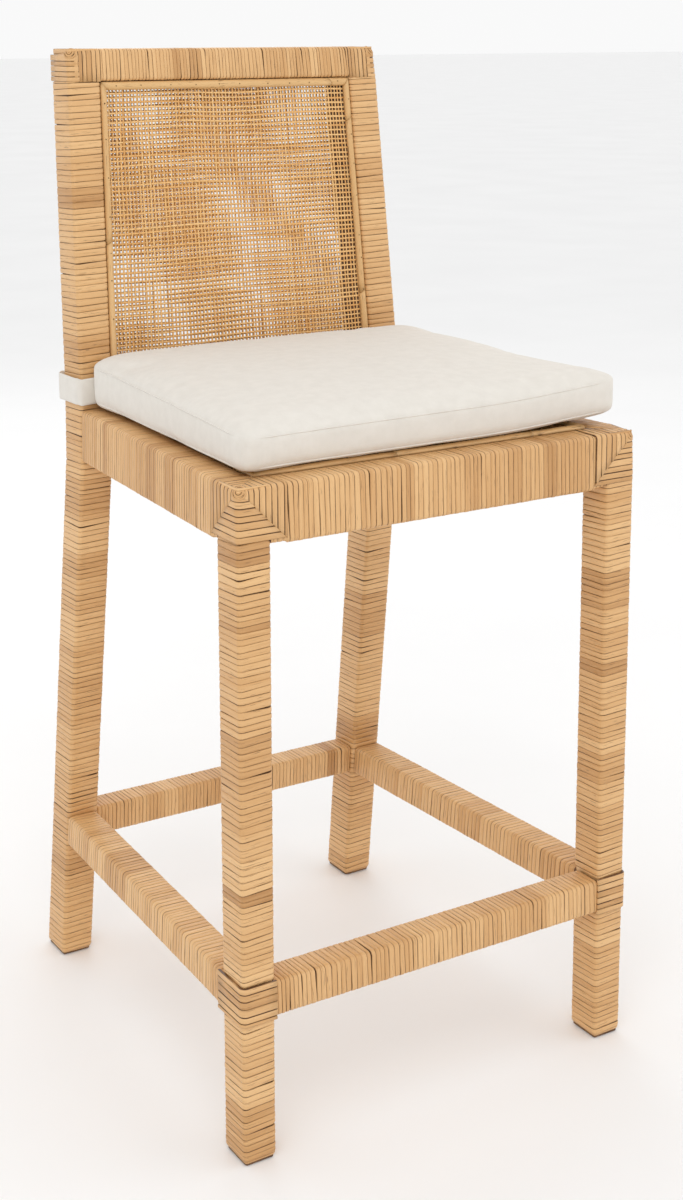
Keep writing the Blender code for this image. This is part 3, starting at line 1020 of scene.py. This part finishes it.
# ---- woven cane ----
@dataclass
class CaneSheet:
    """A sheet of cane in plain weave, flat in one plane of the layout."""

    name: str
    node: str
    low: Vector
    high: Vector
    flat: int
    pitch: tuple[float, float]
    seed: int
    width: float = 0.0023
    thick: float = 0.0004
    wander: float = 0.0014
    stray: float = 0.0003

    def strand(self, bm: bmesh.types.BMesh, run: int, side: int, at: float, parity: int,
               rng: random.Random) -> None:
        """Add one strand.

        Args:
            bm: Mesh to add to.
            run: The axis along the strand.
            side: The axis across it, in the sheet.
            at: Its place on that axis.
            parity: Whether it starts over or under.
            rng: Source of its wander and tone.
        """
        length = self.high[run] - self.low[run]
        count = round(length / self.pitch[1 if run == 0 else 0])
        middle = (self.low[self.flat] + self.high[self.flat]) / 2
        lift = self.thick * 0.62
        phase, slow = rng.uniform(0, math.tau), rng.uniform(7, 16)
        width = self.width * rng.uniform(0.75, 1.12) / 2
        tone, start = rng.uniform(0.0, 0.95), rng.uniform(0, 4)
        rings, along = [], []
        for index in range(2 * count + 1):
            share = index / (2 * count)
            wave = math.sin(math.pi * (index / 2 + parity)) if index % 2 else 0.0
            where = self.low[run] + length * share
            drift = self.wander * math.sin(23 * where + 13 * at + self.seed)
            drift *= math.sin(math.pi * share)
            drift += self.stray * math.sin(phase + slow * share)
            ring = []
            for a, b in ((0, 1), (1, 0), (0, -1), (-1, 0)):
                point = Vector()
                point[run] = where
                point[side] = at + drift + a * width
                point[self.flat] = middle + wave * lift + b * self.thick / 2
                ring.append(STOOL.settle(point))
            rings.append(ring)
            along.append(start + length * share)
        loft(bm, rings, (0.0, 1.0, 0.0, -1.0), along, [tone] * len(rings))

    def build(self, finish: bpy.types.Material) -> None:
        """Weave the sheet."""
        rng = random.Random(self.seed)
        bm = new_mesh()
        axes = [a for a in range(3) if a != self.flat]
        for way, (run, side) in enumerate(((axes[1], axes[0]), (axes[0], axes[1]))):
            length = self.high[side] - self.low[side]
            count = round(length / self.pitch[way])
            for index in range(count):
                at = self.low[side] + length * (index + 0.5 + rng.uniform(-0.05, 0.05)) / count
                self.strand(bm, run, side, at, index + way, rng)
        piece(self.name, bm, finish, Body.FRAME, Slot.CANE, [self.node])


@dataclass
class Panels:
    """The cane back and the cane seat with their trim."""

    skin: float = 0.0066
    cane: float = 0.0012
    trim: float = 0.009
    inlaid: float = 0.003
    back_pitch: tuple[float, float] = (0.00495, 0.00500)
    seat_pitch: tuple[float, float] = (0.0062, 0.0062)

    def ring(self, x: float, pairs: Sequence[tuple[float, float]]) -> tuple[Vector, ...]:
        """Four corners of a ring from its half width and its (y, z) at the two ends."""
        (y0, z0), (y1, z1) = pairs
        return Vector((-x, y0, z0)), Vector((x, y0, z0)), Vector((x, y1, z1)), Vector((-x, y1, z1))

    def build(self) -> None:
        """Weave the sheets and lay the trim."""
        lay, gap, edge = STOOL, STOOL.gap, self.trim / 2
        webbing, trim = WEBBING.make(), HALF_ROUND.make()
        brads = bmesh.new()
        half = lay.post_in - gap
        low = lay.lower_rail_bottom + lay.lower_rail_h + gap
        high = lay.top - lay.crest_h - gap
        for name, face, out in (("front", lay.post_front + self.skin, -1),
                                ("rear", lay.post_rear - self.skin, 1)):
            ys = sorted((face + out * gap, face + out * (gap + self.cane)))
            CaneSheet(f"back_webbing_{name}", f"back_cane_{name}", Vector((-half, ys[0], low)),
                      Vector((half, ys[1], high)), 1, self.back_pitch,
                      5 if out < 0 else 9).build(webbing)
            y = face + out * (2 * gap + self.cane)
            corners = self.ring(half - edge, ((y, low + edge), (y, high - edge)))
            cuts = {"top": (0.07,), "right": (0.20, 0.86), "left": (0.55,)}
            Trim(f"back_trim_{name}", ("bottom", "right", "top", "left"), corners,
                 Vector((0, out, 0)), cuts).build(trim, brads)
        front, rear = lay.rail_t + gap, lay.post_front - gap
        x = lay.leg_in - gap
        z = lay.seat_top - self.inlaid + gap
        CaneSheet("seat_webbing", "seat_cane", Vector((-x, front, z)),
                  Vector((x, rear, z + self.cane)), 2, self.seat_pitch, 3).build(webbing)
        z += self.cane + gap
        corners = self.ring(x - edge, ((front + edge, z), (rear - edge, z)))
        Trim("seat_trim", ("front", "right", "back", "left"), corners, Vector((0, 0, 1)),
             {"front": (0.40, 0.83), "left": (0.9,)}).build(trim, brads)
        piece("trim_brads", brads, BRASSED.make(), Body.FRAME, Slot.TRIM)


# ---- cushion ----
@dataclass
class Cushion:
    """A boxed linen cushion, blown up as cloth, with a welt seam round its top and bottom."""

    shrink: float = 0.0035
    rounding: float = 0.010
    taper: float = 0.043
    voxel: float = 0.0055
    pressure: float = 4.0
    cap: float = 0.007
    crown: float = 0.008
    lift: float = 0.009
    front_left: float = 0.038
    front_right: float = 0.041
    rear: float = 0.051
    swollen: float = 1.08
    flat: float = 0.10
    grow_low: Vector = field(default_factory=lambda: Vector((0.004, 0.004, 0.0)))
    grow_high: Vector = field(default_factory=lambda: Vector((0.008, 0.002, 0.0)))
    over_top: float = 0.0105
    over_rear: float = 0.003
    seam: float = 0.0009
    frames: int = 20
    puller: Vector = field(default_factory=lambda: Vector((0.009, 0.0012, 0.004)))
    low: Vector = field(default_factory=lambda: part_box("cushion_cover")[0])
    high: Vector = field(default_factory=lambda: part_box("cushion_cover")[1])

    def start(self) -> bpy.types.Object:
        """The slab that the cloth starts from."""
        low, high = self.low, self.high
        bm = bmesh.new()
        size = high - low - Vector((2, 2, 2)) * self.shrink
        verts = cubic(bm, size, (low + high) / 2)
        narrow = (high.y - low.y) * self.taper
        for vert in verts:
            if vert.co.y > 0:
                vert.co.x -= math.copysign(narrow, vert.co.x)
        corners = [e for e in bm.edges if abs(e.verts[0].co.z - e.verts[1].co.z) > size.z / 2]
        rounded(bm, corners, self.rounding * 1.4, 4)
        rims = [e for e in bm.edges if len(e.link_faces) == 2
                and abs(e.link_faces[0].normal.z - e.link_faces[1].normal.z) > 0.5]
        rounded(bm, rims, self.rounding / 2, 3)
        return shown_mesh("cushion_linen_cover", bm)

    def apply(self, made: bpy.types.Object) -> None:
        """Apply every modifier of an object to its mesh."""
        graph = bpy.context.evaluated_depsgraph_get()
        mesh = bpy.data.meshes.new_from_object(made.evaluated_get(graph))
        made.modifiers.clear()
        made.data = mesh

    def swell(self, made: bpy.types.Object) -> None:
        """Blow the cover up as cloth, and keep each point near where it started."""
        remesh = made.modifiers.new("even", "REMESH")
        remesh.mode = "VOXEL"
        remesh.voxel_size = self.voxel
        self.apply(made)
        before = [v.co.copy() for v in made.data.vertices]
        cloth = made.modifiers.new("cloth", "CLOTH")
        cloth.settings.use_pressure = True
        cloth.settings.uniform_pressure_force = self.pressure
        cloth.settings.effector_weights.gravity = 0.0
        cloth.settings.quality = 6
        for index in range(1, self.frames + 1):
            bpy.context.scene.frame_set(index)
        self.apply(made)
        bpy.context.scene.frame_set(1)
        for vert, old in zip(made.data.vertices, before):
            move = vert.co - old
            if move.length > self.cap:
                vert.co = old + move.normalized() * self.cap

    def heights(self, u: float, v: float) -> tuple[float, float]:
        """How far the underside stands off the seat, and the height of the top edge above it.

        Args:
            u: Place from left to right, from -1 to 1.
            v: Place from front to rear, from -1 to 1.

        Returns:
            The lift and the height, in metres.
        """
        across, back = clamp((u + 1) / 2, 0.0, 1.0), clamp((v + 1) / 2, 0.0, 1.0)
        corner = clamp((u - v - 1.2) / 0.8, 0.0, 1.0)
        front = lerp(self.front_left, self.front_right, across)
        return self.lift * corner * corner, lerp(front, self.rear, back ** 0.7)

    def place(self, spot: Vector) -> tuple[float, float]:
        """A point's place from left to right and from front to rear, each from -1 to 1."""
        middle, half = (self.low + self.high) / 2, (self.high - self.low) / 2
        return (spot.x - middle.x) / half.x, (spot.y - middle.y) / half.y

    def shape(self, made: bpy.types.Object) -> None:
        """Crown the top, flatten the underside and lift the corner that stands off the seat."""
        low, high = self.low, self.high
        spots = [vert.co.copy() for vert in made.data.vertices]
        least = Vector(min(spot[axis] for spot in spots) for axis in range(3))
        most = Vector(max(spot[axis] for spot in spots) for axis in range(3))
        goal = low - self.grow_low, high + self.grow_high
        for vert in made.data.vertices:
            for axis in (0, 1):
                share = (vert.co[axis] - least[axis]) / (most[axis] - least[axis])
                vert.co[axis] = lerp(goal[0][axis], goal[1][axis], share)
            u, v = self.place(vert.co)
            lift, height = self.heights(u, v)
            up = (vert.co.z - least.z) / (most.z - least.z) * self.swollen
            up = max(0.0, (up - self.flat) / (1 - self.flat))
            dome = max(0.0, 1 - u * u) ** 0.7 * max(0.0, 1 - v * v) ** 0.6
            top = low.z + lift + up * (height + self.crown * dome)
            vert.co.z = min(top, high.z + self.over_top)
            vert.co.y = min(vert.co.y, high.y + self.over_rear)

    def welt(self, made: bpy.types.Object, share: float, name: str,
             finish: bpy.types.Material) -> None:
        """Lay a thin seam ridge on the cover, round it at a share of its height."""
        low, high = self.low, self.high
        tree = BVHTree.FromObject(made, bpy.context.evaluated_depsgraph_get())
        middle = (low + high) / 2
        count, sides = 260, 6
        outline = perimeter((high.x - low.x) / 2, (high.y - low.y) / 2, 0.016)
        shares = [point[2] for point in outline] + [1.0]
        line: list[Vector] = []
        for index in range(count):
            at = index / count
            slot = max(i for i in range(len(outline)) if shares[i] <= at)
            after = outline[(slot + 1) % len(outline)]
            spread = (at - shares[slot]) / (shares[slot + 1] - shares[slot])
            flat = outline[slot][0].lerp(after[0], spread)
            aim = Vector((middle.x + flat.x * 1.4, middle.y + flat.y * 1.4, 0.0))
            lift, height = self.heights(*self.place(middle + Vector((flat.x, flat.y, 0.0))))
            aim.z = low.z + lift + height * share
            hit = tree.ray_cast(aim, (Vector((middle.x, middle.y, aim.z)) - aim).normalized())[0]
            line.append(hit if hit is not None else tree.find_nearest(aim)[0])
        for _ in range(3):
            line = [(line[i - 1] + line[i] * 2 + line[(i + 1) % count]) / 4 for i in range(count)]
        line.append(line[0].copy())
        rings = []
        for index, spot in enumerate(line):
            before = line[index - 1 if index % count else -2]
            way = (line[(index + 1) % count] - before).normalized()
            out = way.cross(Vector((0, 0, 1))).normalized()
            up = out.cross(way)
            rings.append([spot + out * math.cos(t) * self.seam + up * math.sin(t) * self.seam
                          for t in (math.tau * s / sides for s in range(sides))])
        bm = new_mesh()
        loft(bm, rings, [0.0] * sides, [0.0] * len(rings), [0.0] * len(rings), hoop=True)
        ridge = piece(name, bm, finish, Body.CUSHION, Slot.LINEN)
        ridge.parent = made
        ridge.matrix_parent_inverse = made.matrix_world.inverted()

    def lay_zip(self, made: bpy.types.Object) -> None:
        """Lay a coil zip with its puller on the rear side of the cover."""
        low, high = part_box("cushion_zip")
        tree = BVHTree.FromObject(made, bpy.context.evaluated_depsgraph_get())
        middle = (low.z + high.z) / 2 - 0.004
        half, tape, count = (high.z - low.z) / 2, 0.0006, 173
        rings = []
        for index in range(count + 1):
            x = lerp(low.x, high.x, index / count)
            spot = tree.ray_cast(Vector((x, high.y + 0.1, middle)), Vector((0, -1, 0)))[0]
            tooth = tape + (0.0007 if index % 2 and 2 < index < count - 2 else 0.0001)
            rings.append([spot + Vector((0, y, z)) for z, y in (
                (-half, -0.0006), (-half, tape), (-0.0016, tape), (-0.0011, tooth), (0.0011, tooth),
                (0.0016, tape), (half, tape), (half, -0.0006))])
        bm = new_mesh()
        loft(bm, rings, [0.0] * 8, [0.0] * len(rings), [0.0] * len(rings))
        verts = cubic(bm, self.puller, rings[6][0] + Vector((0, 0.0022, half)))
        rounded(bm, list({edge for vert in verts for edge in vert.link_edges}), 0.0004, 2)
        piece("cushion_zip_coil", bm, NYLON.make(), Body.CUSHION, Slot.NYLON, ["cushion_zip"])

    def build(self, linen: bpy.types.Material) -> None:
        """Make the cushion, its seams and its zip."""
        made = self.start()
        self.swell(made)
        self.shape(made)
        fine = made.modifiers.new("fine", "SUBSURF")
        fine.levels = 1
        fine.render_levels = 1
        self.apply(made)
        made.data.materials.clear()
        made.data.materials.append(linen)
        for face in made.data.polygons:
            face.use_smooth = True
        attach(made, Body.CUSHION.value)
        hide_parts("cushion_cover", "cushion_foam")
        self.welt(made, 0.82, "cushion_seam_top", linen)
        self.welt(made, 0.10, "cushion_seam_bottom", linen)
        self.lay_zip(made)
        log.info("cushion: %d faces", len(made.data.polygons))


# Place across the strap and depth from its outer face, round the section.
STRAP_SECTION = ((-1.0, 0.35), (-0.96, 0.06), (-0.8, 0.0), (0.8, 0.0), (0.96, 0.06), (1.0, 0.35),
                 (0.99, 0.75), (0.96, 1.0), (-0.96, 1.0), (-0.99, 0.75))


@dataclass
class Strap:
    """One band of doubled linen from the cushion's rear corner, round a post, to the patch."""

    name: str
    side: int
    layer: float
    width: float = 0.027
    bottom: float = 0.641
    thick: float = 0.0018
    loose: float = 0.0035
    turn: float = 0.006
    overlap: float = 0.035
    rise_over: float = 0.030
    cushion_rear: float = 0.370
    sag: float = 0.0006
    blend_z: float = 0.65
    blend_over: float = 0.020

    def route(self) -> list[Vector]:
        """Plan of the strap's inner face, from the cushion to its end behind the back."""
        lay = STOOL
        out, behind = lay.half + self.loose, lay.post_rear + self.loose
        start = self.cushion_rear + lay.gap + self.thick
        points = [Vector((lerp(lay.post_in, out - self.turn, i / 4), start)) for i in range(4)]
        for first, y in ((-90, start + self.turn), (0, behind - self.turn)):
            for step in range(7):
                turn = math.radians(first + 90 * step / 6)
                points.append(Vector((out - self.turn + self.turn * math.cos(turn),
                                      y + self.turn * math.sin(turn))))
        for index in range(17):
            x = lerp(lay.post_in, -self.overlap, index / 16)
            rise = clamp((lay.post_in - x) / self.rise_over, 0.0, 1.0)
            points.append(Vector((x, behind + self.layer * rise)))
        return points

    def build(self, linen: bpy.types.Material) -> None:
        """Make the strap."""
        points = self.route()
        rings, runs = [], [0.0]
        for index, spot in enumerate(points):
            before, after = points[max(index - 1, 0)], points[min(index + 1, len(points) - 1)]
            way = (after - before).normalized()
            out = Vector((way.y, -way.x))
            sag = self.sag * math.sin(index * 0.9)
            ring = []
            for across, deep in STRAP_SECTION:
                z = self.bottom + self.width * (across + 1) / 2 + sag
                flat = spot + out * self.thick * (1 - deep)
                ring.append(STOOL.settle(Vector((self.side * flat.x, flat.y, z))))
            rings.append(ring)
            if index:
                runs.append(runs[-1] + (spot - points[index - 1]).length)
        bm = new_mesh()
        loft(bm, rings, [point[0] for point in STRAP_SECTION], runs, [0.0] * len(rings))
        made = piece(f"{self.name}_band", bm, linen, None, Slot.LINEN, [self.name])
        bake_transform(made)


@dataclass
class Upholstery:
    """The cushion and its straps."""

    layer: float = 0.0036

    def build(self) -> None:
        """Make the soft pieces."""
        linen = LINEN.make()
        Cushion().build(linen)
        Strap("strap_left", -1, 0.0).build(linen)
        Strap("strap_right", 1, self.layer).build(linen)


@dataclass
class Hardware:
    """Screw heads under the seat board's corner blocks."""

    radius: float = 0.0038
    height: float = 0.0016
    inset: float = 0.3

    def build(self) -> None:
        """Make one countersunk head under each block."""
        bm = bmesh.new()
        for place in ("front", "back"):
            for side in ("left", "right"):
                low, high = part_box(f"corner_block_{place}_{side}")
                across = self.inset if side == "left" else 1 - self.inset
                back = self.inset if place == "front" else 1 - self.inset
                spot = Vector((lerp(low.x, high.x, across), lerp(low.y, high.y, back),
                               low.z - self.height / 2))
                verts = bmesh.ops.create_cone(
                    bm, cap_ends=True, segments=20, radius1=self.radius * 0.7,
                    radius2=self.radius, depth=self.height)["verts"]
                bmesh.ops.translate(bm, vec=spot, verts=verts)
        piece("seat_screw_heads", bm, STEEL.make(), Body.FRAME, Slot.NYLON)


def dress_nodes() -> None:
    """Give the CAD nodes of the wood, plywood, foam and nylon slots their finishes."""
    finishes = {Slot.WOOD: CORE_WOOD.make(), Slot.PLY: PLYWOOD.make(), Slot.FOAM: FOAM.make(),
                Slot.NYLON: NYLON.make()}
    slots = {row["node"]: row["material_slot"] for row in frame["record"]["subparts"]}
    for name, node in frame["nodes"].items():
        finish = next((made for key, made in finishes.items() if key.value == slots[name]), None)
        if finish is not None:
            node.data.materials.clear()
            node.data.materials.append(finish)


# ---- studio ----
@dataclass
class Studio:
    """Pale floor, soft lights and the camera."""

    place: Vector = field(default_factory=lambda: Vector((-0.9492, -1.5842, 1.0196)))
    pitch: float = -0.1777
    yaw: float = -0.5575
    roll: float = 0.0019
    lens: float = 55.35
    shift: float = -0.20
    floor: float = 60.0
    sky: float = 0.95
    aim: Vector = field(default_factory=lambda: Vector((0, 0, 0.5)))
    lamps: tuple[tuple[str, tuple[float, float, float], float, float], ...] = (
        ("key", (-1.6, -2.2, 2.8), 2.0, 20.0), ("fill", (2.6, -1.4, 1.9), 2.4, 8.0),
        ("rear", (0.6, 2.6, 2.4), 2.2, 12.0))

    def build(self) -> None:
        """Set the scene round the stool."""
        bm = bmesh.new()
        bmesh.ops.create_grid(bm, x_segments=1, y_segments=1, size=self.floor)
        floor = shown_mesh("floor", bm)
        floor.data.materials.append(PALE_FLOOR.make())
        world = bpy.data.worlds.new("studio")
        world.use_nodes = True
        background = world.node_tree.nodes["Background"].inputs
        background[0].default_value = (1.0, 1.0, 1.0, 1.0)
        background[1].default_value = self.sky
        bpy.context.scene.world = world
        for name, place, size, power in self.lamps:
            data = bpy.data.lights.new(name, "AREA")
            data.size = size
            data.energy = power
            lamp = shown(name, data)
            lamp.location = place
            lamp.rotation_mode = "QUATERNION"
            lamp.rotation_quaternion = (Vector(place) - self.aim).to_track_quat("Z", "Y")
        data = bpy.data.cameras.new("camera")
        data.lens = self.lens
        data.shift_y = self.shift
        camera = shown("camera", data)
        camera.location = self.place
        camera.rotation_euler = (math.pi / 2 + self.pitch, self.roll, self.yaw)
        bpy.context.scene.camera = camera
        bpy.context.scene.view_settings.view_transform = "Standard"


def main() -> None:
    """Build every sub-assembly in order."""
    logging.basicConfig(level=logging.INFO, format="%(message)s", stream=sys.stdout)
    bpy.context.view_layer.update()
    dress_nodes()
    Studio().build()
    WrappedFrame().build()
    Panels().build()
    Upholstery().build()
    Hardware().build()


if __name__ == "__main__":
    main()
